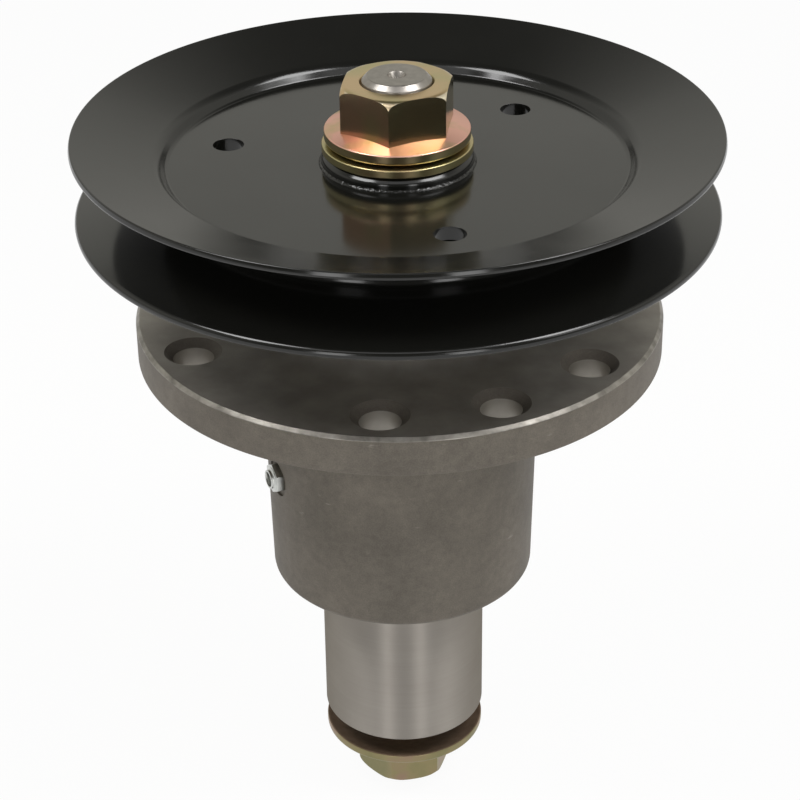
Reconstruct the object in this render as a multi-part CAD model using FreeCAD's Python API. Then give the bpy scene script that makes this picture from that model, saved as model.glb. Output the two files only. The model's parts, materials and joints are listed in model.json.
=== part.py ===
import FreeCAD, Part
import os
from math import cos, radians, sin, sqrt, tan

os.makedirs("parts", exist_ok=True)

# Mower deck spindle. Millimetres, +Z up the spindle's axis.
# The origin is on that axis, in the underside of the flange, which lies on the deck.
# X and Y pass midway between the four deck bolts of the square pattern.
# Azimuths are in degrees from -Y towards +X.

V = FreeCAD.Vector
UP = V(0, 0, 1)
CENTRE = V(0, 0, 0)
INCH = 25.4
CUT_PAST = 1.0  # how far a cutting tool runs past the face it breaks through
CROWN_MARGIN = 0.05  # how far the round that trims a hexagon's end stands clear of its corners

# Cast housing
flange_r = 74.2
flange_t = 11.2
flange_chamfer = 1.0
barrel_top_r = 39.9
barrel_bottom_r = 38.3
barrel_length = 73.1
barrel_corner = 2.1
boss_foot_r = 37.5
boss_top_r = 35.5
boss_top = 40.0
boss_fillet = 9.0
boss_edge = 1.5
cup_shoulder = 2.55
bore_lead_in = 0.8

# Deck bolts: a six-hole and a four-hole pattern on one circle share two holes
deck_bolt_circle = 124.4
deck_hole_d = 0.4375 * INCH
deck_countersink_d = 0.625 * INCH
deck_countersink_depth = 2.1
square_azimuths = (45, 135, 225, 315)
six_azimuths = (15, 75, 135, 195, 255, 315)

# Tapered roller bearings, one inch bore
bearing_bore_r = INCH / 2
cup_r = 50.292 / 2
cup_length = 10.668
cone_length = 14.732
bearing_width = 14.224
pitch_angle = 12.5
roller_half_angle = 2.0
pitch_r = (bearing_bore_r + cup_r) / 2
roller_length = 9.6
roller_count = 14
roller_clearance = 0.04
cone_rib_drop = 0.3
cone_rib_width = 3.2
cone_small_rib_width = 1.3
cone_small_rib_rise = 0.7
cage_wall = 0.9
cage_offset = 0.7
cage_border = 1.3
cage_pocket_play = 0.12
lower_cone_depth = 9.6
upper_cone_depth = 9.3

# Lip seals
seal_width = 8.0
seal_case_wall = 1.8
seal_lip_wall = 1.2
seal_lip_reach = 4.6
seal_lip_flare = 0.8
seal_lip_clearance = 0.05
seal_recess = 0.6
journal_r = 17.5

# Shaft
shaft_r = bearing_bore_r
blade_end_r = 24.15
blade_end_clearance = 1.1
blade_end_length = 50.9
blade_end_chamfer = 0.6
thread_r = 0.75 * INCH / 2
thread_start = 2.0
shaft_proud = 1.7
shaft_end_chamfer = 1.4
centre_hole_r = 2.6
centre_drill_r = 0.8
centre_hole_depth = 3.1
centre_drill_depth = 5.1
tapped_hole_depth = 44.0
tapped_hole_tip = 118
spacer_r = 15.6

# Key of the pulley
key_width = INCH / 4
key_length = 19.0
key_start = 2.3
key_azimuth = 200.0

# Pulley: two pressed discs back to back, welded to a hub
sheet = 1.9
groove_rise = 13.5
rim_r = 88.4
web_r = 63.6
step_r = 65.6
step_rise = 1.6
flare_angle = 20.0
web_hole_r = 4.3
web_hole_circle_r = 48.4
web_hole_azimuth = 35.7
web_hole_count = 3
hub_r = 21.0
hub_over_groove = 5.5
hub_under_groove = 6.0
hub_edge = 0.8
weld_leg = 0.8
weld_bulge = 0.1

# Spring washer and flange nut over the hub
spring_washer_r = 20.7
spring_washer_t = 2.3
spring_washer_crown_r = 11.8
spring_washer_foot_r = 18.6
spring_washer_rise = 0.95
spring_washer_hole_r = 9.9
nut_flange_r = 20.0
nut_flange_edge = 2.95
nut_flange_rise = 1.35
nut_af = 1.125 * INCH
nut_height = 16.35
nut_crown_round = 2.65
nut_mouth_r = 10.2
nut_azimuth = 11.9

# Blade washer and bolt
blade_gap = 6.1
blade_washer_r = 24.0
blade_washer_t = 2.9
blade_washer_dish = 5.2
blade_washer_seat_r = 11.6
blade_washer_hole_r = 8.4
bolt_r = 0.625 * INCH / 2
bolt_length = 1.75 * INCH
bolt_af = 1.0 * INCH
bolt_head_t = 10.6
bolt_crown_round = 3.0
bolt_tip = 1.5
bolt_azimuth = 3.0

# Grease fitting in the side of the barrel
grease_height = -36.0
grease_azimuth = -46.0
spot_face_x = 38.3
spot_face_r = 5.6
grease_port_r = 0.25 * INCH / 2
grease_shank_end = 27.0
grease_hex_af = 0.3125 * INCH
grease_hex_t = 2.1
grease_neck_r = 1.7
grease_head_r = 2.3
grease_tip_r = 1.5
grease_cone = 0.3
grease_neck = 0.5
grease_head = 0.8
grease_nose = 0.6
grease_way_r = 0.6

# Places and sizes that follow from those
lower_cone_back = lower_cone_depth - barrel_length
upper_cone_back = boss_top - upper_cone_depth
blade_end_top = -barrel_length - blade_end_clearance
blade_shoulder = blade_end_top - blade_end_length
groove_mid = boss_top + groove_rise
hub_top = groove_mid + hub_over_groove
hub_step = groove_mid - hub_under_groove
nut_seat = hub_top + spring_washer_t + spring_washer_rise
nut_top = nut_seat + nut_height
thread_foot = hub_top - thread_start
shaft_top = nut_top + shaft_proud
key_bottom = upper_cone_back + key_start
grease_cavity_r = cup_r - cup_shoulder
cone_rib_r = pitch_r - cone_rib_drop


def spin(outline, at=CENTRE, axis=UP):
    """A turned solid: the closed half-section (radius, height) swept round the axis."""
    face = Part.Face(Part.makePolygon([V(r, 0, z) for r, z in outline + outline[:1]]))
    return face.revolve(at, axis, 360)


def drum(r, low, high):
    return Part.makeCylinder(r, high - low, V(0, 0, low))


def at_azimuth(azimuth, r, z=0.0):
    a = radians(azimuth)
    return V(r * sin(a), -r * cos(a), z)


def turned(shape, degrees):
    shape = shape.copy()
    shape.rotate(CENTRE, UP, degrees)
    return shape


def hexagon(across_flats, low, high, corner_azimuth):
    r = across_flats / sqrt(3)
    corners = [at_azimuth(corner_azimuth + 60 * i, r, low) for i in range(7)]
    return Part.Face(Part.makePolygon(corners)).extrude(V(0, 0, high - low))


def filleted(shape, radius, wanted):
    return shape.makeFillet(radius, [e for e in shape.Edges if wanted(e)])


def circle_at(edge, r, z):
    """Whether an edge is the full circle of radius r at height z about the axis."""
    box = edge.BoundBox
    flat = box.ZLength < 1e-3 and abs(box.ZMin - z) < 1e-3
    return flat and abs(box.XMax - r) < 1e-2


def crowned(bar, across_flats, rounding, tip):
    """A hexagon bar whose corners are rounded off all round at its tip, as forging leaves them."""
    r = across_flats / sqrt(3) + CROWN_MARGIN
    round_bar = drum(r, bar.BoundBox.ZMin, bar.BoundBox.ZMax)
    return bar.common(filleted(round_bar, rounding, lambda e: circle_at(e, r, tip)))


# Bearing geometry: every raceway and roller is a cone with one common apex on the axis

cone_race_angle = pitch_angle - roller_half_angle
cup_race_angle = pitch_angle + roller_half_angle
apex_depth = pitch_r / tan(radians(pitch_angle))
mid_depth = cone_length - bearing_width + cup_length / 2
apex_height = cone_length - mid_depth + apex_depth


def race_r(angle, height):
    """Radius of a raceway of this half angle, at a height above the bearing's back face."""
    return (apex_height - height) * tan(radians(angle))


def bearing_cup():
    mouth = bearing_width - cup_length
    return spin([
        (race_r(cup_race_angle, mouth), mouth),
        (cup_r, mouth),
        (cup_r, bearing_width),
        (race_r(cup_race_angle, bearing_width), bearing_width),
    ])


def bearing_cone():
    neck = cone_length - cone_small_rib_width
    small_rib_r = race_r(cone_race_angle, neck) + cone_small_rib_rise
    return spin([
        (bearing_bore_r, 0),
        (cone_rib_r, 0),
        (cone_rib_r, cone_rib_width),
        (race_r(cone_race_angle, cone_rib_width), cone_rib_width),
        (race_r(cone_race_angle, neck), neck),
        (small_rib_r, neck),
        (small_rib_r, cone_length),
        (bearing_bore_r, cone_length),
    ])


def leaned(shape, height):
    """Lean a piece drawn along Z onto the pitch cone, its middle at this height over the back face."""
    shape = shape.copy()
    shape.rotate(CENTRE, V(0, 1, 0), -pitch_angle)
    shape.translate(V(race_r(pitch_angle, height), 0, height))
    return shape


roller_height = cone_length - mid_depth


def bearing_rollers():
    slant = pitch_r / sin(radians(pitch_angle))
    half = roller_length / 2
    large = (slant + half) * tan(radians(roller_half_angle)) - roller_clearance
    small = (slant - half) * tan(radians(roller_half_angle)) - roller_clearance
    roller = leaned(Part.makeCone(large, small, roller_length, V(0, 0, -half)), roller_height)
    return Part.Compound([turned(roller, 360 / roller_count * i) for i in range(roller_count)])


def bearing_cage():
    half = (roller_length / 2 + cage_pocket_play + cage_border) * cos(radians(pitch_angle))
    low = roller_height - half
    high = roller_height + half
    inner = cage_offset
    outer = cage_offset + cage_wall
    sleeve = spin([
        (race_r(pitch_angle, low) + inner, low),
        (race_r(pitch_angle, low) + outer, low),
        (race_r(pitch_angle, high) + outer, high),
        (race_r(pitch_angle, high) + inner, high),
    ])
    slant = pitch_r / sin(radians(pitch_angle))
    reach = roller_length / 2 + cage_pocket_play
    wide = (slant + reach) * tan(radians(roller_half_angle)) + cage_pocket_play
    narrow = (slant - reach) * tan(radians(roller_half_angle)) + cage_pocket_play
    corners = [V(0, -wide, -reach), V(0, wide, -reach), V(0, narrow, reach), V(0, -narrow, reach)]
    pocket = Part.Face(Part.makePolygon(corners + corners[:1])).extrude(V(3 * outer, 0, 0))
    pocket = leaned(pocket, roller_height)
    return sleeve.cut([turned(pocket, 360 / roller_count * i) for i in range(roller_count)])


def lower(shape):
    """Set a bearing piece, drawn with its back face at height 0, in the lower end."""
    shape = shape.copy()
    shape.translate(V(0, 0, lower_cone_back))
    return shape


def upper(shape):
    """Set a bearing piece in the upper end, back face up."""
    shape = shape.copy()
    shape.rotate(CENTRE, V(1, 0, 0), 180)
    shape.translate(V(0, 0, upper_cone_back))
    return shape


lower_cup_back = lower_cone_back + bearing_width
upper_cup_back = upper_cone_back - bearing_width


def deck_holes():
    """Drills for the flange, each with a countersink that opens the hole's upper end."""
    hole_r = deck_hole_d / 2
    mouth_r = deck_countersink_d / 2
    slope = (mouth_r - hole_r) / deck_countersink_depth
    drill = spin([
        (0, -CUT_PAST),
        (hole_r, -CUT_PAST),
        (hole_r, flange_t - deck_countersink_depth),
        (mouth_r + slope * CUT_PAST, flange_t + CUT_PAST),
        (0, flange_t + CUT_PAST),
    ])
    drill.translate(at_azimuth(0, deck_bolt_circle / 2))
    return [turned(drill, azimuth) for azimuth in sorted(set(square_azimuths + six_azimuths))]


def along_port(shape):
    """Point a piece drawn along +Z from the axis outwards through the grease port."""
    shape = shape.copy()
    shape.rotate(CENTRE, V(1, 0, 0), 90)
    shape.rotate(CENTRE, UP, grease_azimuth)
    shape.translate(V(0, 0, grease_height))
    return shape


def spindle_housing():
    casting = spin([
        (0, -barrel_length),
        (barrel_bottom_r, -barrel_length),
        (barrel_top_r, 0),
        (flange_r, 0),
        (flange_r, flange_t - flange_chamfer),
        (flange_r - flange_chamfer, flange_t),
        (boss_foot_r, flange_t),
        (boss_top_r, boss_top),
        (0, boss_top),
    ])
    casting = filleted(casting, boss_fillet, lambda e: circle_at(e, boss_foot_r, flange_t))
    casting = filleted(casting, boss_edge, lambda e: circle_at(e, boss_top_r, boss_top))
    casting = filleted(casting, barrel_corner, lambda e: circle_at(e, barrel_bottom_r, -barrel_length))
    lead_r = cup_r + bore_lead_in
    inside = spin([
        (0, -barrel_length),
        (lead_r, -barrel_length),
        (cup_r, -barrel_length + bore_lead_in),
        (cup_r, lower_cup_back),
        (grease_cavity_r, lower_cup_back),
        (grease_cavity_r, upper_cup_back),
        (cup_r, upper_cup_back),
        (cup_r, boss_top - bore_lead_in),
        (lead_r, boss_top),
        (0, boss_top),
    ])
    spot_face = along_port(drum(spot_face_r, spot_face_x, barrel_top_r + CUT_PAST))
    port = along_port(drum(grease_port_r, grease_cavity_r - CUT_PAST, spot_face_x))
    return casting.cut([inside, spot_face, port] + deck_holes())


def lip_seal():
    """A pressed seal, drawn with its outer face at height 0 and the bearing above it."""
    lip_r = journal_r + seal_lip_clearance
    return spin([
        (lip_r + seal_lip_flare, 0),
        (cup_r, 0),
        (cup_r, seal_width),
        (cup_r - seal_case_wall, seal_width),
        (cup_r - seal_case_wall, seal_case_wall),
        (lip_r + seal_lip_flare + seal_lip_wall, seal_case_wall),
        (lip_r + seal_lip_wall, seal_case_wall + seal_lip_reach),
        (lip_r, seal_case_wall + seal_lip_reach),
    ])


def lower_seal():
    shape = lip_seal()
    shape.translate(V(0, 0, bore_lead_in + seal_recess - barrel_length))
    return shape


def upper_seal():
    shape = lip_seal()
    shape.rotate(CENTRE, V(1, 0, 0), 180)
    shape.translate(V(0, 0, boss_top - bore_lead_in - seal_recess))
    return shape


def grease_fitting():
    hex_end = spot_face_x + grease_hex_t
    neck_start = hex_end + grease_cone
    neck_end = neck_start + grease_neck
    head_end = neck_end + grease_cone + grease_head
    tip = head_end + grease_nose
    shoulder_r = grease_hex_af / 2 * 0.86
    stem = spin([
        (grease_way_r, grease_shank_end),
        (grease_port_r, grease_shank_end),
        (grease_port_r, spot_face_x),
        (shoulder_r, spot_face_x),
        (shoulder_r, hex_end),
        (grease_neck_r, neck_start),
        (grease_neck_r, neck_end),
        (grease_head_r, neck_end + grease_cone),
        (grease_head_r, head_end),
        (grease_tip_r, tip),
        (grease_way_r, tip),
    ])
    nut = hexagon(grease_hex_af, spot_face_x, hex_end, 0)
    nut = nut.cut(drum(grease_way_r, spot_face_x, hex_end))
    return along_port(stem.fuse(nut).removeSplitter())


def spindle_shaft():
    drill_r = bolt_r
    hole_top = blade_shoulder + tapped_hole_depth
    cone_top = hole_top + drill_r / tan(radians(tapped_hole_tip / 2))
    bar = spin([
        (0, cone_top),
        (drill_r, hole_top),
        (drill_r, blade_shoulder),
        (blade_end_r - blade_end_chamfer, blade_shoulder),
        (blade_end_r, blade_shoulder + blade_end_chamfer),
        (blade_end_r, blade_end_top),
        (journal_r, blade_end_top),
        (journal_r, lower_cone_back),
        (shaft_r, lower_cone_back),
        (shaft_r, thread_foot),
        (thread_r, thread_foot),
        (thread_r, shaft_top - shaft_end_chamfer),
        (thread_r - shaft_end_chamfer, shaft_top),
        (centre_hole_r, shaft_top),
        (centre_drill_r, shaft_top - centre_hole_depth),
        (centre_drill_r, shaft_top - centre_drill_depth),
        (0, shaft_top - centre_drill_depth),
    ])
    return bar.cut(pulley_key())


def pulley_key():
    half = key_width / 2
    key = Part.makeBox(key_width, key_width, key_length, V(-half, -shaft_r - half, key_bottom))
    return turned(key, key_azimuth)


def bearing_spacer():
    low = lower_cone_back + cone_length
    high = upper_cone_back - cone_length
    return drum(spacer_r, low, high).cut(drum(shaft_r, low, high))


def web_holes():
    high = groove_mid + sheet + CUT_PAST
    low = groove_mid - sheet - CUT_PAST
    step = 360 / web_hole_count
    return [
        Part.makeCylinder(web_hole_r, high - low, at_azimuth(web_hole_azimuth + step * i, web_hole_circle_r, low))
        for i in range(web_hole_count)
    ]


def pulley_upper_disc():
    """Flat web, a short step that forms the bottom of the groove, and a flared rim."""
    flare = radians(flare_angle)
    web_top = groove_mid + sheet
    step_top = web_top + step_rise
    rim_top = step_top + (rim_r - step_r) * tan(flare)
    across = sheet * sin(flare)
    down = sheet * cos(flare)
    step_slope = step_rise / (step_r - web_r)
    disc = spin([
        (hub_r, groove_mid),
        (web_r + sheet * step_slope / 2, groove_mid),
        (step_r + across, step_top - down),
        (rim_r + across, rim_top - down),
        (rim_r, rim_top),
        (step_r, step_top),
        (web_r, web_top),
        (hub_r, web_top),
    ])
    return disc.cut(web_holes())


def pulley_lower_disc():
    return pulley_upper_disc().mirror(V(0, 0, groove_mid), UP)


def pulley_hub():
    hub = spin([
        (shaft_r, upper_cone_back),
        (journal_r, upper_cone_back),
        (journal_r, hub_step),
        (hub_r, hub_step),
        (hub_r, hub_top - hub_edge),
        (hub_r - hub_edge, hub_top),
        (shaft_r, hub_top),
    ])
    return hub.cut(pulley_key())


def weld_bead(web, away):
    """A fillet weld round the hub, on the face of the web at this height."""
    out = V(hub_r + weld_leg, 0, web)
    top = V(hub_r, 0, web + away * weld_leg)
    middle = (out + top) * 0.5 + V(weld_bulge, 0, away * weld_bulge)
    edges = [
        Part.LineSegment(V(hub_r, 0, web), out).toShape(),
        Part.Arc(out, middle, top).toShape(),
        Part.LineSegment(top, V(hub_r, 0, web)).toShape(),
    ]
    return Part.Face(Part.Wire(edges)).revolve(CENTRE, UP, 360)


def pulley_hub_welds():
    return Part.Compound([weld_bead(groove_mid + sheet, 1), weld_bead(groove_mid - sheet, -1)])


def pulley_spring_washer():
    """A conical washer, crown up: its foot presses on the hub near the rim."""
    top = hub_top + spring_washer_t
    return spin([
        (spring_washer_foot_r, hub_top),
        (spring_washer_r, hub_top),
        (spring_washer_r, top),
        (spring_washer_crown_r, top + spring_washer_rise),
        (spring_washer_hole_r, top + spring_washer_rise),
        (spring_washer_hole_r, hub_top + spring_washer_rise),
        (spring_washer_crown_r, hub_top + spring_washer_rise),
    ])


def pulley_nut():
    top = nut_top
    edge = nut_seat + nut_flange_edge
    hex_foot = edge + nut_flange_rise
    body = hexagon(nut_af, nut_seat, top, nut_azimuth)
    body = crowned(body, nut_af, nut_crown_round, top)
    flange = spin([
        (0, nut_seat),
        (nut_flange_r, nut_seat),
        (nut_flange_r, edge),
        (nut_af / 2, hex_foot),
        (0, hex_foot),
    ])
    mouth = nut_mouth_r - thread_r
    bore = spin([
        (0, nut_seat),
        (thread_r, nut_seat),
        (thread_r, top - mouth),
        (nut_mouth_r, top),
        (0, top),
    ])
    return body.fuse(flange).cut(bore).removeSplitter()


def blade_washer():
    """A dished washer that presses the blade to the shaft's shoulder by its rim."""
    rim_top = blade_shoulder - blade_gap
    seat_top = rim_top - blade_washer_dish
    return spin([
        (blade_washer_r, rim_top),
        (blade_washer_r, rim_top - blade_washer_t),
        (blade_washer_seat_r, seat_top - blade_washer_t),
        (blade_washer_hole_r, seat_top - blade_washer_t),
        (blade_washer_hole_r, seat_top),
        (blade_washer_seat_r, seat_top),
    ])


def blade_bolt():
    head_top = blade_shoulder - blade_gap - blade_washer_dish - blade_washer_t
    head_bottom = head_top - bolt_head_t
    tip = head_top + bolt_length
    head = hexagon(bolt_af, head_bottom, head_top, bolt_azimuth)
    head = crowned(head, bolt_af, bolt_crown_round, head_bottom)
    shank = spin([
        (0, head_top),
        (bolt_r, head_top),
        (bolt_r, tip - bolt_tip),
        (bolt_r - bolt_tip, tip),
        (0, tip),
    ])
    return head.fuse(shank).removeSplitter()


pieces = {
    "spindle_housing": spindle_housing(),
    "upper_bearing_cup": upper(bearing_cup()),
    "lower_bearing_cup": lower(bearing_cup()),
    "upper_seal": upper_seal(),
    "lower_seal": lower_seal(),
    "grease_fitting": grease_fitting(),
    "upper_bearing_rollers": upper(bearing_rollers()),
    "upper_bearing_cage": upper(bearing_cage()),
    "lower_bearing_rollers": lower(bearing_rollers()),
    "lower_bearing_cage": lower(bearing_cage()),
    "spindle_shaft": spindle_shaft(),
    "upper_bearing_cone": upper(bearing_cone()),
    "lower_bearing_cone": lower(bearing_cone()),
    "bearing_spacer": bearing_spacer(),
    "pulley_key": pulley_key(),
    "pulley_upper_disc": pulley_upper_disc(),
    "pulley_lower_disc": pulley_lower_disc(),
    "pulley_hub": pulley_hub(),
    "pulley_hub_welds": pulley_hub_welds(),
    "pulley_spring_washer": pulley_spring_washer(),
    "pulley_nut": pulley_nut(),
    "blade_washer": blade_washer(),
    "blade_bolt": blade_bolt(),
}

for name, shape in pieces.items():
    box = shape.BoundBox
    print(f"{name}: valid {shape.isValid()}, {len(shape.Solids)} solid, z {box.ZMin:.2f} to {box.ZMax:.2f}")
    shape.exportStep(f"parts/{name}.step")
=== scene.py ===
import json
from math import atan, cos, pi, radians, sin, sqrt

import bmesh
import bpy
from mathutils import Matrix, Vector


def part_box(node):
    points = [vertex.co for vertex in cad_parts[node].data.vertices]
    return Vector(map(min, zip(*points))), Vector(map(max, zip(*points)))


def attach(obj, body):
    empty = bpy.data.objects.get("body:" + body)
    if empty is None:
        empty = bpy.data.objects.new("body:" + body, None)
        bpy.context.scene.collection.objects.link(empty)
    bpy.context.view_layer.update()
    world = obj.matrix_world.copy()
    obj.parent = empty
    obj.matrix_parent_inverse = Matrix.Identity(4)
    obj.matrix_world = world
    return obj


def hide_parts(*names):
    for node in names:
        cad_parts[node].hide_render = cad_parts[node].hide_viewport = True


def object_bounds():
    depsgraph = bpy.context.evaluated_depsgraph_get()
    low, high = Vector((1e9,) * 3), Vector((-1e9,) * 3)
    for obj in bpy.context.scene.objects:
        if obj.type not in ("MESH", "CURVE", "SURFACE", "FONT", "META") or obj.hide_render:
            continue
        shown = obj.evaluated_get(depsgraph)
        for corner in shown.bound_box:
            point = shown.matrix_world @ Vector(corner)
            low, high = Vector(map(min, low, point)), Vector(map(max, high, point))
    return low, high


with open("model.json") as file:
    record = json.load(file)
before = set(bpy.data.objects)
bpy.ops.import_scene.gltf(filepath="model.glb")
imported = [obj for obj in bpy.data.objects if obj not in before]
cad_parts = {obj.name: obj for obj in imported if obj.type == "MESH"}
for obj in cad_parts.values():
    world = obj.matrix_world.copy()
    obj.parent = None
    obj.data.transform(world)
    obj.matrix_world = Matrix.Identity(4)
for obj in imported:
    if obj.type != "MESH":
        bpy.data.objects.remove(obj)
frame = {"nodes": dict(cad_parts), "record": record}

cadLow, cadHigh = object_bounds()
mm = 0.001
over = 1.0  # millimetres that a cutter stands past what it cuts
meshLook = {"merge": 1e-6, "flatAngle": 1.0, "softAngle": 14, "sharpAngle": 35}  # metres, then degrees
print("frame loaded:", len(frame["nodes"]), "nodes")


def span(node):
    # lowest and highest point of a CAD node, in millimetres
    low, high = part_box(node)
    return low[2] / mm, high[2] / mm


def setAt(section, base, side=1):
    # a half section drawn upwards from zero, put at a height, or turned over there where side is -1
    return [(r, base + side * z, rounding) for r, z, rounding in section]


def faceOrder(face):
    # one number from three of the face's corners
    first, second, *others = sorted(vert.index for vert in face.verts)
    return (first * 1e5 + second) * 1e5 + others[-1]


def settle(bm):
    # operators can leave the faces in another order each run, so they are sorted, then turned outwards
    bm.verts.index_update()
    bm.faces.sort(key=faceOrder)
    bmesh.ops.recalc_face_normals(bm, faces=bm.faces)
    return bm


def spun(section, steps=180, rounds=5):
    # turn a half section of (radius, height, rounding) about the axis
    # a section that starts on the axis gets no edge along it
    bm = bmesh.new()
    verts = [bm.verts.new((r * mm, 0, z * mm)) for r, z, rounding in section]
    for pair in zip(verts, verts[1:]):
        bm.edges.new(pair)
    if section[0][0] > 0:
        bm.edges.new((verts[-1], verts[0]))
    for vert, (r, z, rounding) in zip(verts, section):
        if rounding > 0:
            bmesh.ops.bevel(bm, geom=[vert], offset=rounding * mm, offset_type="OFFSET", affect="VERTICES",
                            segments=rounds, profile=0.5, material=-1, clamp_overlap=True)
    bmesh.ops.spin(bm, geom=bm.verts[:] + bm.edges[:], cent=(0, 0, 0), axis=(0, 0, 1), angle=2 * pi,
                   steps=steps, use_merge=True, use_duplicate=False)
    bmesh.ops.remove_doubles(bm, verts=bm.verts, dist=meshLook["merge"])
    return settle(bm)


def hexBar(acrossFlats, low, high, cornerAzimuth):
    bm = bmesh.new()
    bmesh.ops.create_circle(bm, cap_ends=True, segments=6, radius=acrossFlats / sqrt(3) * mm)
    place = Matrix.Rotation(radians(cornerAzimuth), 4, "Z") @ Matrix.Translation((0, 0, low * mm))
    bmesh.ops.transform(bm, matrix=place, verts=bm.verts)
    top = bmesh.ops.extrude_face_region(bm, geom=bm.faces[:])["geom"]
    topVerts = [item for item in top if isinstance(item, bmesh.types.BMVert)]
    bmesh.ops.translate(bm, vec=(0, 0, (high - low) * mm), verts=topVerts)
    return settle(bm)


def atAzimuth(azimuth, r, z):
    # azimuth in degrees from the front, -Y, towards +X
    return Vector((r * sin(radians(azimuth)), -r * cos(radians(azimuth)), z)) * mm


def looseObject(bm, name):
    mesh = bpy.data.meshes.new(name)
    bm.to_mesh(mesh)
    bm.free()
    piece = bpy.data.objects.new(name, mesh)
    bpy.context.scene.collection.objects.link(piece)
    return piece


def combine(piece, others, operation):
    # cut, join or trim a piece with others, which are used up
    for other in others:
        step = piece.modifiers.new("step", "BOOLEAN")
        step.operation = operation
        step.solver = "EXACT"
        step.object = other
    bpy.context.view_layer.update()
    evaluated = piece.evaluated_get(bpy.context.evaluated_depsgraph_get())
    result = bpy.data.meshes.new_from_object(evaluated)
    piece.modifiers.clear()
    piece.data = result
    for other in others:
        bpy.data.objects.remove(other)
    return piece


def softenEdges(piece, width):
    bm = bmesh.new()
    bm.from_mesh(piece.data)
    bmesh.ops.remove_doubles(bm, verts=bm.verts, dist=meshLook["merge"])
    bmesh.ops.dissolve_limit(bm, angle_limit=radians(meshLook["flatAngle"]), verts=bm.verts, edges=bm.edges)
    limit = radians(meshLook["softAngle"])
    sharp = [edge for edge in bm.edges if len(edge.link_faces) == 2 and edge.calc_face_angle() > limit]
    bmesh.ops.bevel(bm, geom=sharp, offset=width * mm, offset_type="OFFSET", affect="EDGES", segments=2,
                    profile=0.5, material=-1, clamp_overlap=True)
    settle(bm).to_mesh(piece.data)
    bm.free()


def dress(piece, node, body, materials):
    # smooth shading with sharp corners, flat faces kept flat, then the piece takes the node's place
    bm = bmesh.new()
    bm.from_mesh(piece.data)
    for face in bm.faces:
        face.smooth = True
    limit = radians(meshLook["sharpAngle"])
    for edge in bm.edges:
        edge.smooth = len(edge.link_faces) == 2 and edge.calc_face_angle() < limit
    bm.to_mesh(piece.data)
    bm.free()
    weighted = piece.modifiers.new("flatFaces", "WEIGHTED_NORMAL")
    weighted.keep_sharp = True
    shares = [face.material_index for face in piece.data.polygons]
    piece.data.materials.clear()  # sets every face back to the first material
    for material in materials:
        piece.data.materials.append(material)
    piece.data.polygons.foreach_set("material_index", shares)
    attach(piece, body)
    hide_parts(node)
    print("made", piece.name)


def newMaterial(name, color, metallic, roughness):
    material = bpy.data.materials.new(name)
    material.use_nodes = True
    shader = material.node_tree.nodes["Principled BSDF"]
    shader.inputs["Base Color"].default_value = (*color, 1)
    shader.inputs["Metallic"].default_value = metallic
    shader.inputs["Roughness"].default_value = roughness
    return material, material.node_tree, shader


def noiseOn(tree, scale, detail, stretch=(1, 1, 1)):
    coords = tree.nodes.new("ShaderNodeTexCoord")
    mapping = tree.nodes.new("ShaderNodeMapping")
    mapping.inputs["Scale"].default_value = stretch
    noise = tree.nodes.new("ShaderNodeTexNoise")
    noise.inputs["Scale"].default_value = scale
    noise.inputs["Detail"].default_value = detail
    tree.links.new(coords.outputs["Object"], mapping.inputs["Vector"])
    tree.links.new(mapping.outputs["Vector"], noise.inputs["Vector"])
    return noise.outputs["Fac"]


def rampOn(tree, value, spread, tones):
    # one tone for each level of the value in spread
    ramp = tree.nodes.new("ShaderNodeValToRGB")
    while len(ramp.color_ramp.elements) < len(tones):
        ramp.color_ramp.elements.new(0.5)
    for element, level, tone in zip(ramp.color_ramp.elements, spread, tones):
        element.position = level
        element.color = (*tone, 1)
    tree.links.new(value, ramp.inputs["Fac"])
    return ramp.outputs["Color"]


def bumpOn(tree, shader, height, depth, strength):
    bump = tree.nodes.new("ShaderNodeBump")
    bump.inputs["Distance"].default_value = depth * mm
    bump.inputs["Strength"].default_value = strength
    tree.links.new(height, bump.inputs["Height"])
    tree.links.new(bump.outputs["Normal"], shader.inputs["Normal"])


def mixOn(tree, blend, factor, first, second):
    mix = tree.nodes.new("ShaderNodeMix")
    mix.data_type = "RGBA"
    mix.blend_type = blend
    if isinstance(factor, float):
        mix.inputs["Factor"].default_value = factor
    else:
        tree.links.new(factor, mix.inputs["Factor"])
    tree.links.new(first, mix.inputs[6])  # the colour sockets A and B
    tree.links.new(second, mix.inputs[7])
    return mix.outputs[2]


def grey(level):
    return (level, level, level)


paintLook = {"color": (0.0072, 0.0072, 0.0062), "smooth": 0.12, "dusty": 0.17,
             "dust": 45, "spread": (0.35, 0.65),
             "sheet": {"grain": 300, "depth": 0.02, "strength": 0.2},
             "bead": {"grain": 900, "depth": 0.3, "strength": 1.0}}


def blackPaint(name, skin):
    p = paintLook
    material, tree, shader = newMaterial(name, p["color"], 0.0, p["smooth"])
    dust = noiseOn(tree, p["dust"], detail=4)
    gloss = rampOn(tree, dust, p["spread"], (grey(p["smooth"]), grey(p["dusty"])))
    tree.links.new(gloss, shader.inputs["Roughness"])
    bumpOn(tree, shader, noiseOn(tree, skin["grain"], detail=2), skin["depth"], skin["strength"])
    return material


castLook = {"dark": (0.122, 0.107, 0.09), "light": (0.152, 0.135, 0.114), "spread": (0.3, 0.7),
            "shade": 0.84, "pale": 1.14, "patches": 55, "mottle": 420, "mottleShare": 0.6,
            "roughness": 0.55, "specular": 0.2, "grain": 2600, "grainDepth": 0.03, "grainStrength": 0.5,
            "scuff": (0.29, 0.27, 0.24), "scratches": 800, "scratchStretch": (0.16, 0.16, 1),
            "scratchSpread": (0.66, 0.72), "scuffed": 165, "scuffedSpread": (0.55, 0.66), "scuffedMost": 0.75}


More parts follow.
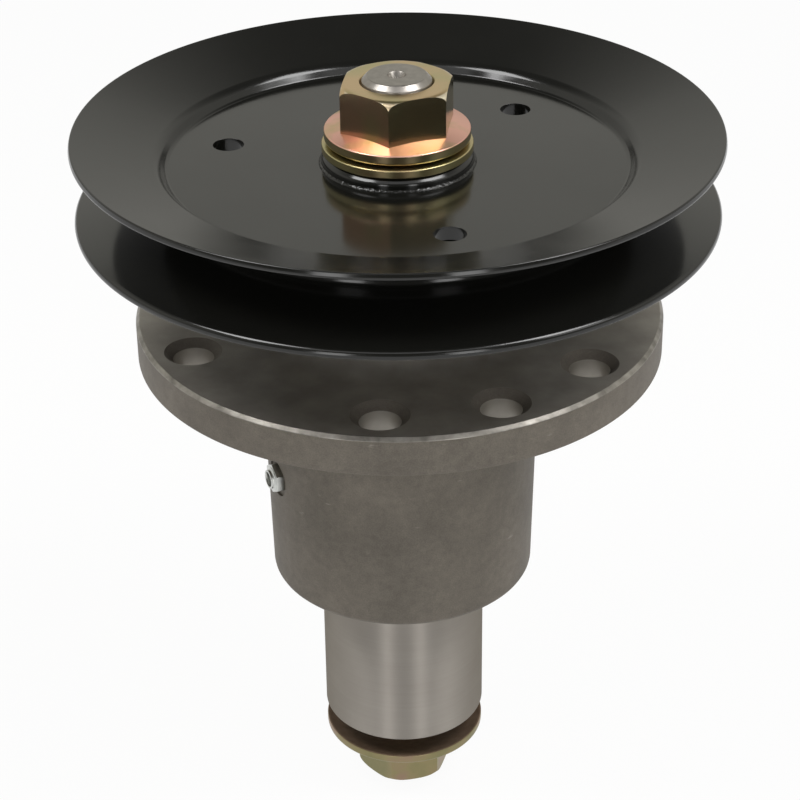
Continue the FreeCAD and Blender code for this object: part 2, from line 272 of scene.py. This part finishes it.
def castIron(name):
    c = castLook
    material, tree, shader = newMaterial(name, c["dark"], 0.0, c["roughness"])
    shader.inputs["Specular IOR Level"].default_value = c["specular"]
    shades = (grey(c["shade"]), grey(c["pale"]))
    grain = rampOn(tree, noiseOn(tree, c["grain"], detail=2), c["spread"], (c["dark"], c["light"]))
    patches = rampOn(tree, noiseOn(tree, c["patches"], detail=6), c["spread"], shades)
    mottle = rampOn(tree, noiseOn(tree, c["mottle"], detail=4), c["spread"], shades)
    patchy = mixOn(tree, "MULTIPLY", 1.0, grain, patches)
    mottled = mixOn(tree, "MULTIPLY", c["mottleShare"], patchy, mottle)
    # light scratches round the casting, in the scuffed places alone
    scratches = noiseOn(tree, c["scratches"], detail=3, stretch=c["scratchStretch"])
    lines = rampOn(tree, scratches, c["scratchSpread"], (grey(0), grey(1)))
    scuffed = noiseOn(tree, c["scuffed"], detail=3)
    where = rampOn(tree, scuffed, c["scuffedSpread"], (grey(0), grey(c["scuffedMost"])))
    scuff = rampOn(tree, noiseOn(tree, c["mottle"], detail=2), c["spread"], (c["light"], c["scuff"]))
    color = mixOn(tree, "MIX", mixOn(tree, "MULTIPLY", 1.0, lines, where), mottled, scuff)
    tree.links.new(color, shader.inputs["Base Color"])
    bumpOn(tree, shader, noiseOn(tree, c["grain"], detail=3), c["grainDepth"], c["grainStrength"])
    return material


steelLook = {"dark": (0.33, 0.303, 0.272), "light": (0.37, 0.342, 0.308), "spread": (0.3, 0.7),
             "edge": (0.4, 0.39, 0.37), "roughness": 0.48, "lines": 1400, "lineStretch": (0.01, 0.01, 1),
             "stains": 90, "stainShare": 0.6, "along": 0.9, "quarterTurn": 0.25}


def turnedSteel(name):
    # turned round the axis, so its highlights run along it
    s = steelLook
    material, tree, shader = newMaterial(name, s["dark"], 1.0, s["roughness"])
    tones = (s["dark"], s["light"])
    lines = rampOn(tree, noiseOn(tree, s["lines"], detail=3, stretch=s["lineStretch"]), s["spread"], tones)
    stains = rampOn(tree, noiseOn(tree, s["stains"], detail=4), s["spread"], tones)
    tree.links.new(mixOn(tree, "MIX", s["stainShare"], lines, stains), shader.inputs["Base Color"])
    coords = tree.nodes.new("ShaderNodeTexCoord")
    around = tree.nodes.new("ShaderNodeVectorMath")
    around.operation = "CROSS_PRODUCT"
    around.inputs[1].default_value = (0, 0, 1)
    placed = tree.nodes.new("ShaderNodeVectorTransform")
    placed.vector_type = "VECTOR"
    placed.convert_from, placed.convert_to = "OBJECT", "WORLD"
    tree.links.new(coords.outputs["Object"], around.inputs[0])
    tree.links.new(around.outputs["Vector"], placed.inputs["Vector"])
    tree.links.new(placed.outputs["Vector"], shader.inputs["Tangent"])
    shader.inputs["Specular Tint"].default_value = (*s["edge"], 1)
    shader.inputs["Anisotropic"].default_value = s["along"]
    shader.inputs["Anisotropic Rotation"].default_value = s["quarterTurn"]
    return material


gold, rose, olive = (0.63, 0.465, 0.26), (0.88, 0.5, 0.4), (0.5, 0.45, 0.235)  # tones of the yellow plating
brown, dim, moss, worn = (0.52, 0.33, 0.21), (0.46, 0.37, 0.2), (0.48, 0.43, 0.235), (0.84, 0.75, 0.57)
dullOlive, dullGold, dullRose = (0.225, 0.207, 0.104), (0.27, 0.23, 0.12), (0.29, 0.207, 0.14)
cloudLook = {
    "machinedIron": {"tones": ((0.265, 0.245, 0.216), (0.36, 0.336, 0.298)), "spread": (0.35, 0.7),
                     "roughness": 0.36, "clouds": 110, "detail": 5, "metallic": 0.55},
    "wornIron": {"tones": ((0.17, 0.158, 0.14), (0.38, 0.358, 0.322)), "roughness": 0.36, "clouds": 260,
                 "metallic": 0.8},
    "facedSteel": {"tones": ((0.31, 0.29, 0.265), (0.38, 0.355, 0.325)), "roughness": 0.34, "clouds": 600},
    "bearingSteel": {"tones": (grey(0.44), grey(0.56)), "roughness": 0.25, "clouds": 1200},
    "yellowZinc": {"tones": (olive, gold), "spread": (0.36, 0.6), "roughness": 0.28, "clouds": 75},
    "roseZinc": {"tones": (gold, rose), "spread": (0.34, 0.48), "roughness": 0.32, "clouds": 75},
    "brownZinc": {"tones": (dim, brown), "spread": (0.4, 0.55), "roughness": 0.19, "clouds": 75},
    "mossZinc": {"tones": (moss, dim), "spread": (0.4, 0.6), "roughness": 0.19, "clouds": 75},
    "wornZinc": {"tones": (gold, worn), "spread": (0.4, 0.55), "roughness": 0.32, "clouds": 300},
    "oliveZinc": {"tones": (olive, gold), "spread": (0.4, 0.66), "roughness": 0.32, "clouds": 75},
    "dullZinc": {"tones": (dullOlive, dullGold, dullRose), "spread": (0.36, 0.5, 0.62), "roughness": 0.42,
                 "clouds": 80},
    # painted shade: a dark brown zinc for the inside of the blade washer's dish, standing in for the shadow
    # there
    "paintedShadeZinc": {"tones": ((0.105, 0.068, 0.043), (0.14, 0.095, 0.063)), "roughness": 0.65, "clouds": 400,
                 "metallic": 0.0, "specular": 0.2},
    "brightZinc": {"tones": ((0.5, 0.51, 0.49), (0.62, 0.63, 0.6)), "roughness": 0.3, "clouds": 700},
    "sealRubber": {"tones": (grey(0.015), (0.028, 0.027, 0.026)), "roughness": 0.6, "clouds": 900,
                   "metallic": 0.0}}
# what a finish gets where it says nothing else
plainLook = {"spread": (0.3, 0.7), "detail": 3, "metallic": 1.0, "specular": 0.5}


def clouded(name):
    # soft clouds of a finish's tones
    look = {**plainLook, **cloudLook[name]}
    material, tree, shader = newMaterial(name, look["tones"][0], look["metallic"], look["roughness"])
    clouds = noiseOn(tree, look["clouds"], look["detail"])
    tree.links.new(rampOn(tree, clouds, look["spread"], look["tones"]), shader.inputs["Base Color"])
    shader.inputs["Specular IOR Level"].default_value = look["specular"]
    return material


finish = {name: clouded(name) for name in cloudLook}
finish["blackPaint"] = blackPaint("blackPaint", paintLook["sheet"])
finish["beadPaint"] = blackPaint("beadPaint", paintLook["bead"])
finish["castIron"] = castIron("castIron")
finish["turnedSteel"] = turnedSteel("turnedSteel")
slotFinish = {"cast_grey": "castIron", "turned_steel": "turnedSteel", "black_paint": "blackPaint",
              "yellow_zinc": "yellowZinc", "bright_zinc": "brightZinc", "seal_rubber": "sealRubber",
              "bearing_steel": "bearingSteel"}
for part in frame["record"]["subparts"]:
    mesh = frame["nodes"][part["node"]].data
    mesh.materials.clear()
    mesh.materials.append(finish[slotFinish[part["material_slot"]]])
print("finishes made")


discLook = {"sheet": 1.9, "rimR": 88.4, "webR": 63.1, "stepR": 65.2, "stepRise": 3.05,
            "foldIn": 0.7, "foldOut": 1.5, "grooveIn": 0.8, "grooveOut": 0.7,  # roundings of the step
            "upperRim": (0.45, 0.8), "lowerRim": (0.2, 1.5),  # roundings on the outer and the groove face
            "holes": 3, "holeR": 4.3, "holeRound": 0.1, "holeProud": 0.01, "holeCircle": 48.4,
            "holeAzimuth": 35.7}
hubLook = {"r": 21.0, "boreR": 12.7, "footR": 17.5, "step": 47.5, "footRound": 0.3,
           "edge": 1.7, "edgeRounds": (0.6, 0.2)}
beadLook = {"leg": 0.6, "belly": 0.6, "round": 0.2}
middle, discTop = span("pulley_upper_disc")
hubFoot, hubTop = span("pulley_hub")


def pulleyDisc(name, side, rim):
    # drawn upwards from the plane where the two discs meet, and turned over for the lower one
    d = discLook
    sheet, stepTop, rimTop = d["sheet"], d["sheet"] + d["stepRise"], discTop - middle
    flare = atan((rimTop - stepTop) / (d["rimR"] - d["stepR"]))
    across, down = sheet * sin(flare), sheet * cos(flare)
    bend = sheet * d["stepRise"] / (d["stepR"] - d["webR"]) / 2
    section = [
        (hubLook["r"], 0, 0), (d["webR"] + bend, 0, d["grooveIn"]),
        (d["stepR"] + across, stepTop - down, d["grooveOut"]),
        (d["rimR"] + across, rimTop - down, rim[1]), (d["rimR"], rimTop, rim[0]),
        (d["stepR"], stepTop, d["foldOut"]), (d["webR"], sheet, d["foldIn"]), (hubLook["r"], sheet, 0)]
    disc = looseObject(spun(setAt(section, middle, side), steps=240), name)
    face, head = sheet + d["holeProud"], d["holeR"] + 2 * over
    section = [(0, -over, 0), (d["holeR"], -over, 0), (d["holeR"], face, d["holeRound"]), (head, face, 0),
               (head, face + over, 0), (0, face + over, 0)]
    cutters = []
    for i in range(d["holes"]):
        hole = spun(setAt(section, 0, side), steps=48)
        place = atAzimuth(d["holeAzimuth"] + 360 / d["holes"] * i, d["holeCircle"], middle)
        bmesh.ops.translate(hole, vec=place, verts=hole.verts)
        cutters.append(looseObject(hole, "hole"))
    return combine(disc, cutters, "DIFFERENCE")


def weldBead(name):
    # one bead on each disc, round the hub
    r, web, leg = hubLook["r"], discLook["sheet"], beadLook["leg"]
    belly = leg * beadLook["belly"]
    section = [(r, web, 0), (r + leg, web, 0), (r + belly, web + belly, beadLook["round"]), (r, web + leg, 0)]
    rings = [looseObject(spun(setAt(section, middle, side), steps=240), name) for side in (1, -1)]
    return combine(rings[0], rings[1:], "UNION")


def pulleyHub(name):
    h = hubLook
    return looseObject(spun([
        (h["boreR"], hubFoot, 0), (h["footR"], hubFoot, h["footRound"]), (h["footR"], h["step"], 0),
        (h["r"], h["step"], h["footRound"]), (h["r"], hubTop - h["edge"], h["edgeRounds"][0]),
        (h["r"] - h["edge"], hubTop, h["edgeRounds"][1]), (h["boreR"], hubTop, 0)]), name)


black = [finish["blackPaint"]]
upperDisc = pulleyDisc("pulleyUpperDisc", 1, discLook["upperRim"])
dress(upperDisc, "pulley_upper_disc", "spindle", black)
lowerDisc = pulleyDisc("pulleyLowerDisc", -1, discLook["lowerRim"])
dress(lowerDisc, "pulley_lower_disc", "spindle", black)
dress(weldBead("pulleyHubWelds"), "pulley_hub_welds", "spindle", [finish["beadPaint"]])
dress(pulleyHub("pulleyHub"), "pulley_hub", "spindle", black)


springLook = {"r": 20.7, "thick": 2.3, "edge": 0.35, "crownR": 11.8, "crownRound": 0.4,
              "footR": 18.6, "holeR": 9.9}
nutLook = {"across": 28.575, "azimuth": 11.9, "hexFoot": 0.4, "crownRound": 2.65, "edge": 0.55,
           "flangeR": 20.0, "flangeEdge": 2.95, "flangeRise": 1.35, "flangeRounds": (0.9, 0.35),
           "mouthR": 10.2, "boreR": 9.525,
           "flangeSlope": 0.3, "flatSlope": 0.1, "crownSlopes": (0.15, 0.85)}  # how far up the faces look
springTop = span("pulley_spring_washer")[1]
nutFoot, nutTop = span("pulley_nut")


def springWasher(name):
    s = springLook
    under = springTop - s["thick"]
    return looseObject(spun([
        (s["footR"], hubTop, 0), (s["r"], hubTop, s["edge"]), (s["r"], hubTop + s["thick"], s["edge"]),
        (s["crownR"], springTop, s["crownRound"]), (s["holeR"], springTop, 0), (s["holeR"], under, 0),
        (s["crownR"], under, 0)]), name)


def crowned(name, look, foot, tip):
    # a hexagon whose corners are rounded off all round at its tip
    past = over if tip > foot else -over
    barR = look["across"] / sqrt(3) + 0.05  # just past the corners
    piece = looseObject(hexBar(look["across"], foot, tip + past, look["azimuth"]), name)
    bar = spun([(0, tip, 0), (barR, tip, look["crownRound"]), (barR, foot - past, 0), (0, foot - past, 0)],
               steps=144, rounds=12)
    combine(piece, [looseObject(bar, "bar")], "INTERSECT")
    softenEdges(piece, look["edge"])
    return piece


def flangeNut(name):
    n = nutLook
    rim = nutFoot + n["flangeEdge"]
    foot = rim + n["flangeRise"]
    nut = crowned(name, n, nutFoot + n["hexFoot"], nutTop)
    flange = spun([(0, nutFoot, 0), (n["flangeR"], nutFoot, n["flangeRounds"][0]),
                   (n["flangeR"], rim, n["flangeRounds"][1]), (n["across"] / 2, foot, 0), (0, foot, 0)])
    combine(nut, [looseObject(flange, "flange")], "UNION")
    mouth = n["mouthR"] - n["boreR"]
    bore = spun([(0, nutFoot - over, 0), (n["boreR"], nutFoot - over, 0), (n["boreR"], nutTop - mouth, 0),
                 (n["mouthR"] + mouth, nutTop + mouth, 0), (0, nutTop + mouth, 0)], steps=120)
    combine(nut, [looseObject(bore, "bore")], "DIFFERENCE")
    # the plating is rose on the flange, brown and moss on the left and right flats, worn round the crown
    lowSlope, highSlope = n["crownSlopes"]
    for face in nut.data.polygons:
        r, z, slope = face.center.xy.length / mm, face.center.z / mm, face.normal.z
        if slope > n["flangeSlope"] and z < foot + 0.2:
            face.material_index = 1
        elif abs(slope) < n["flatSlope"] and z > rim:
            face.material_index = 2 if face.normal.x < 0 else 4
        elif lowSlope < slope < highSlope and z > foot + 1 and r > n["across"] / 2 - 1:
            face.material_index = 3
        else:
            face.material_index = 0
    return nut


nutFinishes = [finish[name] for name in ("yellowZinc", "roseZinc", "brownZinc", "wornZinc", "mossZinc")]
washer = springWasher("pulleySpringWasher")
dress(washer, "pulley_spring_washer", "spindle", [finish["oliveZinc"]])
dress(flangeNut("pulleyNut"), "pulley_nut", "spindle", nutFinishes)


housingLook = {"flangeR": 74.2, "flangeThick": 11.2, "flangeRound": 0.4,
               "chamfer": 1.0, "chamferRound": 0.15, "chamferSlope": 0.2,
               "barrelTopR": 39.9, "barrelFootR": 38.3, "neckRound": 0.3, "footRound": 2.0,
               "bossFootR": 37.5, "bossTopR": 35.5, "bossRound": 8.6, "bossEdge": 1.4,
               "boreR": 25.146, "cavityR": 22.6, "lead": 0.8,
               "holeR": 5.55625, "mouthR": 7.9375, "sinkDepth": 2.1, "sinkRound": 0.2, "holeEdge": 0.3,
               "holeCircle": 62.2, "holes": (15, 45, 75, 135, 195, 225, 255, 315)}
fittingLook = {"height": -36.0, "azimuth": -46.0, "seat": 38.3, "seatR": 5.6, "portR": 3.175, "shankEnd": 27.0,
               "across": 7.9375, "thick": 2.4, "edge": 0.25, "reach": 1.1, "headR": 2.8, "headRound": 0.2,
               "shoulderR": 3.6, "shoulderSunk": 0.3, "shoulderTop": 0.1, "shoulderFoot": 0.4,
               "shoulderRound": 0.1,
               "mouthR": 2.3, "mouthDepth": 0.6, "mouthProud": 0.1, "wayR": 2.0, "wayDepth": 2.6}
housingFoot, bossTop = span("spindle_housing")
lowerCupTop = span("lower_bearing_cup")[1]
upperCupFoot = span("upper_bearing_cup")[0]


def outOfBarrel(bm):
    # from drawn along +Z to pointing out of the barrel at the fitting
    turned = Matrix.Rotation(radians(fittingLook["azimuth"]), 4, "Z") @ Matrix.Rotation(pi / 2, 4, "X")
    place = Matrix.Translation((0, 0, fittingLook["height"] * mm)) @ turned
    bmesh.ops.transform(bm, matrix=place, verts=bm.verts)
    return bm


def castHousing(name):
    h, f = housingLook, fittingLook
    thick, edge = h["flangeThick"], h["holeEdge"]
    lead = h["boreR"] + h["lead"]
    body = looseObject(spun([
        (h["boreR"], lowerCupTop, 0), (h["boreR"], housingFoot + h["lead"], 0), (lead, housingFoot, 0),
        (h["barrelFootR"], housingFoot, h["footRound"]), (h["barrelTopR"], 0, h["neckRound"]),
        (h["flangeR"], 0, h["flangeRound"]), (h["flangeR"], thick - h["chamfer"], h["chamferRound"]),
        (h["flangeR"] - h["chamfer"], thick, h["chamferRound"]), (h["bossFootR"], thick, h["bossRound"]),
        (h["bossTopR"], bossTop, h["bossEdge"]), (lead, bossTop, 0), (h["boreR"], bossTop - h["lead"], 0),
        (h["boreR"], upperCupFoot, 0), (h["cavityR"], upperCupFoot, 0), (h["cavityR"], lowerCupTop, 0)],
        steps=240), name)
    sink = (h["mouthR"] - h["holeR"]) / h["sinkDepth"]
    cutters = []
    for azimuth in h["holes"]:
        hole = spun([
            (0, -over, 0), (h["holeR"] + edge + over, -over, 0), (h["holeR"], edge, 0),
            (h["holeR"], thick - h["sinkDepth"], h["sinkRound"]), (h["mouthR"] + sink * over, thick + over, 0),
            (0, thick + over, 0)], steps=64)
        bmesh.ops.translate(hole, vec=atAzimuth(azimuth, h["holeCircle"], 0), verts=hole.verts)
        cutters.append(looseObject(hole, "deckHole"))
    seat = spun([(0, f["seat"], 0), (f["seatR"], f["seat"], 0), (f["seatR"], h["flangeR"], 0),
                 (0, h["flangeR"], 0)], steps=56)
    port = spun([(0, h["boreR"], 0), (f["portR"], h["boreR"], 0), (f["portR"], f["seat"] + over, 0),
                 (0, f["seat"] + over, 0)], steps=56)
    cutters += [looseObject(outOfBarrel(seat), "seat"), looseObject(outOfBarrel(port), "port")]
    combine(body, cutters, "DIFFERENCE")
    # machined on top and in the deck holes' bores, worn bright along the flange's chamfer, cast elsewhere; the
    # countersinks keep the darker cast finish as painted shade
    near = 0.1
    edgeR, edgeFoot = h["flangeR"] - h["chamfer"] - near, thick - h["chamfer"] - near
    for face in body.data.polygons:
        r, z = face.center.xy.length / mm, face.center.z / mm
        inHole = abs(r - h["holeCircle"]) < h["holeR"] + near and edge - near < z < thick - h["sinkDepth"]
        if r > edgeR and z > edgeFoot and face.normal.z > h["chamferSlope"]:
            face.material_index = 2
        else:
            face.material_index = 1 if inHole or z > thick - near / 2 else 0
    return body


def greaseFitting(name):
    f = fittingLook
    front = f["seat"] + f["thick"]
    tip = front + f["reach"]
    body = looseObject(outOfBarrel(hexBar(f["across"], f["seat"], front, 0)), name)
    softenEdges(body, f["edge"])
    stem = spun([
        (0, f["shankEnd"], 0), (f["portR"], f["shankEnd"], 0), (f["portR"], front - f["shoulderSunk"], 0),
        (f["shoulderR"], front - f["shoulderSunk"], 0),
        (f["shoulderR"], front + f["shoulderTop"], f["shoulderRound"]),
        (f["headR"], front + f["shoulderFoot"], f["headRound"]), (f["headR"], tip, f["headRound"]),
        (0, tip, 0)], steps=72)
    way = spun([
        (0, tip - f["wayDepth"], 0), (f["wayR"], tip - f["wayDepth"], 0), (f["wayR"], tip - f["mouthDepth"], 0),
        (f["mouthR"], tip + f["mouthProud"], 0), (0, tip + f["mouthProud"], 0)], steps=48)
    combine(body, [looseObject(outOfBarrel(stem), "stem")], "UNION")
    return combine(body, [looseObject(outOfBarrel(way), "way")], "DIFFERENCE")


housingFinishes = [finish[name] for name in ("castIron", "machinedIron", "wornIron")]
dress(castHousing("spindleHousing"), "spindle_housing", "housing", housingFinishes)
dress(greaseFitting("greaseFitting"), "grease_fitting", "housing", [finish["brightZinc"]])


shaftLook = {"r": 12.7, "threadR": 9.525, "threadFoot": 57.0, "endChamfer": 1.4, "endRound": 0.2,
             "journalR": 17.5, "coneBack": -63.5, "bladeEndR": 24.15, "bladeEndTop": -74.2, "edge": 0.5,
             "centreR": 2.6, "centreDepth": 3.1, "centreRound": 0.1, "drillR": 0.8, "drillDepth": 5.1,
             "tappedR": 7.9375, "tappedDepth": 44.0, "tappedPoint": 0.6}
washerLook = {"r": 24.0, "thick": 2.9, "dish": 5.2, "seatR": 11.6, "bend": 2, "holeR": 8.4, "edge": 0.7,
              "paintedShadeSlope": 0.6}
boltLook = {"across": 25.4, "azimuth": 3.0, "head": 10.6, "crownRound": 3.0, "edge": 0.4,
            "r": 7.9375, "tip": 1.5}
shoulder, shaftTop = span("spindle_shaft")
washerRim = span("blade_washer")[1]
boltFoot, boltTip = span("blade_bolt")


def turnedShaft(name):
    s = shaftLook
    tapped, drilled = shoulder + s["tappedDepth"], shaftTop - s["drillDepth"]
    shaft = looseObject(spun([
        (0, tapped + s["tappedR"] * s["tappedPoint"], 0), (s["tappedR"], tapped, 0), (s["tappedR"], shoulder, 0),
        (s["bladeEndR"], shoulder, s["edge"]), (s["bladeEndR"], s["bladeEndTop"], s["edge"]),
        (s["journalR"], s["bladeEndTop"], 0), (s["journalR"], s["coneBack"], 0), (s["r"], s["coneBack"], 0),
        (s["r"], s["threadFoot"], 0), (s["threadR"], s["threadFoot"], 0),
        (s["threadR"], shaftTop - s["endChamfer"], s["endRound"]),
        (s["threadR"] - s["endChamfer"], shaftTop, s["endRound"]), (s["centreR"], shaftTop, s["centreRound"]),
        (s["drillR"], shaftTop - s["centreDepth"], 0), (s["drillR"], drilled, 0), (0, drilled, 0)],
        steps=200), name)
    for face in shaft.data.polygons:
        # the faced end with its centre hole
        face.material_index = 1 if face.center.z / mm > drilled - 0.1 else 0
    return shaft


def dishedWasher(name):
    w = washerLook
    seat = washerRim - w["dish"]
    piece = looseObject(spun([
        (w["r"], washerRim, w["edge"]), (w["r"], washerRim - w["thick"], w["edge"]),
        (w["seatR"], seat - w["thick"], w["bend"]), (w["holeR"], seat - w["thick"], 0), (w["holeR"], seat, 0),
        (w["seatR"], seat, w["bend"])]), name)
    for face in piece.data.polygons:
        face.material_index = 1 if face.normal.z > w["paintedShadeSlope"] else 0  # painted shade: the dish's upward faces take a dark zinc that stands in for the shadow under the shaft's shoulder
    return piece


def hexBolt(name):
    b = boltLook
    headTop = boltFoot + b["head"]
    bolt = crowned(name, b, headTop, boltFoot)
    shank = spun([(0, headTop - over, 0), (b["r"], headTop - over, 0), (b["r"], boltTip, b["tip"]),
                  (0, boltTip, 0)], steps=96)
    return combine(bolt, [looseObject(shank, "shank")], "UNION")


shaftFinishes = [finish["turnedSteel"], finish["facedSteel"]]
washerFinishes = [finish["dullZinc"], finish["paintedShadeZinc"]]
dress(turnedShaft("spindleShaft"), "spindle_shaft", "spindle", shaftFinishes)
dress(dishedWasher("bladeWasher"), "blade_washer", "spindle", washerFinishes)
dress(hexBolt("bladeBolt"), "blade_bolt", "spindle", [finish["dullZinc"]])


# the studio is laid out with the photograph's camera over -Y, then turned with it
studioAzimuth = radians(20)
studioTurn = Matrix.Rotation(studioAzimuth, 4, "Z")
cameraLook = {"lens": 102.72, "sensor": 36.0, "place": (-0.0002, -0.5724, 0.30905),
              "tilt": 29.9, "roll": 0.715}
floorLook = {"color": (0.9, 0.9, 0.88), "roughness": 0.8, "size": 40.0, "white": 0.94}
worldLook = {"low": (0.5, 0.49, 0.45), "backdrop": (0.7, 0.69, 0.63), "ceiling": (0.09, 0.089, 0.084),
             "heights": (0.1, 0.42, 0.52, 0.76), "front": 0.16, "frontReach": (-0.75, -0.1)}
lampLook = {
    "overhead": {"place": (0, -0.48, 0.91), "size": (1.1, 0.4), "power": 1.4},
    "left": {"place": (-0.63, -0.2, 0.99), "size": (0.44, 0.44), "power": 6.0},
    "right": {"place": (0.63, -0.2, 0.99), "size": (0.44, 0.44), "power": 6.4},
    "rightPanel": {"place": (0.91, -0.42, 0.68), "size": (0.5, 0.4), "power": 1.3},
    "frontLeft": {"place": (-0.43, -1.1, 0.25), "size": (0.22, 0.8), "power": 2.2},
    "frontRight": {"place": (0.43, -1.1, 0.25), "size": (0.22, 0.8), "power": 2.2}}


def mathOn(tree, operation, first, second):
    node = tree.nodes.new("ShaderNodeMath")
    node.operation = operation
    tree.links.new(first, node.inputs[0])
    if isinstance(second, float):
        node.inputs[1].default_value = second
    else:
        tree.links.new(second, node.inputs[1])
    return node.outputs[0]


def studioFloor():
    # nearly white where the camera or a reflection sees it, with a share of its shadow kept
    bm = bmesh.new()
    bmesh.ops.create_grid(bm, x_segments=1, y_segments=1, size=floorLook["size"] / 2)
    bmesh.ops.translate(bm, vec=(0, 0, cadLow[2]), verts=bm.verts)
    floor = looseObject(bm, "studioFloor")
    material, tree, shader = newMaterial("paleFloor", floorLook["color"], 0.0, floorLook["roughness"])
    white = tree.nodes.new("ShaderNodeEmission")
    path = tree.nodes.new("ShaderNodeLightPath")
    direct = mathOn(tree, "MAXIMUM", path.outputs["Is Camera Ray"], path.outputs["Is Glossy Ray"])
    seen = mathOn(tree, "MAXIMUM", direct, path.outputs["Is Transmission Ray"])
    mix = tree.nodes.new("ShaderNodeMixShader")
    tree.links.new(mathOn(tree, "MULTIPLY", seen, floorLook["white"]), mix.inputs["Fac"])
    tree.links.new(shader.outputs["BSDF"], mix.inputs[1])
    tree.links.new(white.outputs["Emission"], mix.inputs[2])
    tree.links.new(mix.outputs["Shader"], tree.nodes["Material Output"].inputs["Surface"])
    floor.data.materials.append(material)


def studioWorld():
    # pale backdrop round the back and sides, dim ceiling, dark behind the camera
    w = worldLook
    world = bpy.data.worlds.new("studio")
    bpy.context.scene.world = world
    world.use_nodes = True
    tree = world.node_tree
    coords = tree.nodes.new("ShaderNodeTexCoord")
    turned = tree.nodes.new("ShaderNodeMapping")
    turned.inputs["Rotation"].default_value = (0, 0, -studioAzimuth)
    split = tree.nodes.new("ShaderNodeSeparateXYZ")
    tree.links.new(coords.outputs["Generated"], turned.inputs["Vector"])
    tree.links.new(turned.outputs["Vector"], split.inputs["Vector"])
    tones = (w["low"], w["backdrop"], w["backdrop"], w["ceiling"])
    height = rampOn(tree, split.outputs["Z"], w["heights"], tones)
    front = tree.nodes.new("ShaderNodeMapRange")
    front.inputs["From Min"].default_value, front.inputs["From Max"].default_value = w["frontReach"]
    front.inputs["To Min"].default_value = w["front"]
    front.inputs["To Max"].default_value = 1.0
    tree.links.new(split.outputs["Y"], front.inputs["Value"])
    background = tree.nodes["Background"]
    tree.links.new(height, background.inputs["Color"])
    tree.links.new(front.outputs["Result"], background.inputs["Strength"])


def softbox(name, look):
    # a rectangle of light that looks at the origin
    data = bpy.data.lights.new(name, "AREA")
    data.shape = "RECTANGLE"
    data.size, data.size_y = look["size"]
    data.energy = look["power"]
    lamp = bpy.data.objects.new(name, data)
    bpy.context.scene.collection.objects.link(lamp)
    place = studioTurn @ Vector(look["place"])
    aim = (-place).to_track_quat("-Z", "Y").to_matrix().to_4x4()
    lamp.matrix_world = Matrix.Translation(place) @ aim


def studioCamera():
    c = cameraLook
    data = bpy.data.cameras.new("camera")
    data.lens = c["lens"]
    data.sensor_width = c["sensor"]
    camera = bpy.data.objects.new("camera", data)
    bpy.context.scene.collection.objects.link(camera)
    aim = Matrix.Rotation(radians(90 - c["tilt"]), 4, "X") @ Matrix.Rotation(-radians(c["roll"]), 4, "Z")
    camera.matrix_world = studioTurn @ Matrix.Translation(c["place"]) @ aim
    bpy.context.scene.camera = camera


studioFloor()
studioWorld()
for lampName, look in lampLook.items():
    softbox(lampName, look)
studioCamera()
bpy.context.scene.view_settings.view_transform = "Standard"
print("studio set")
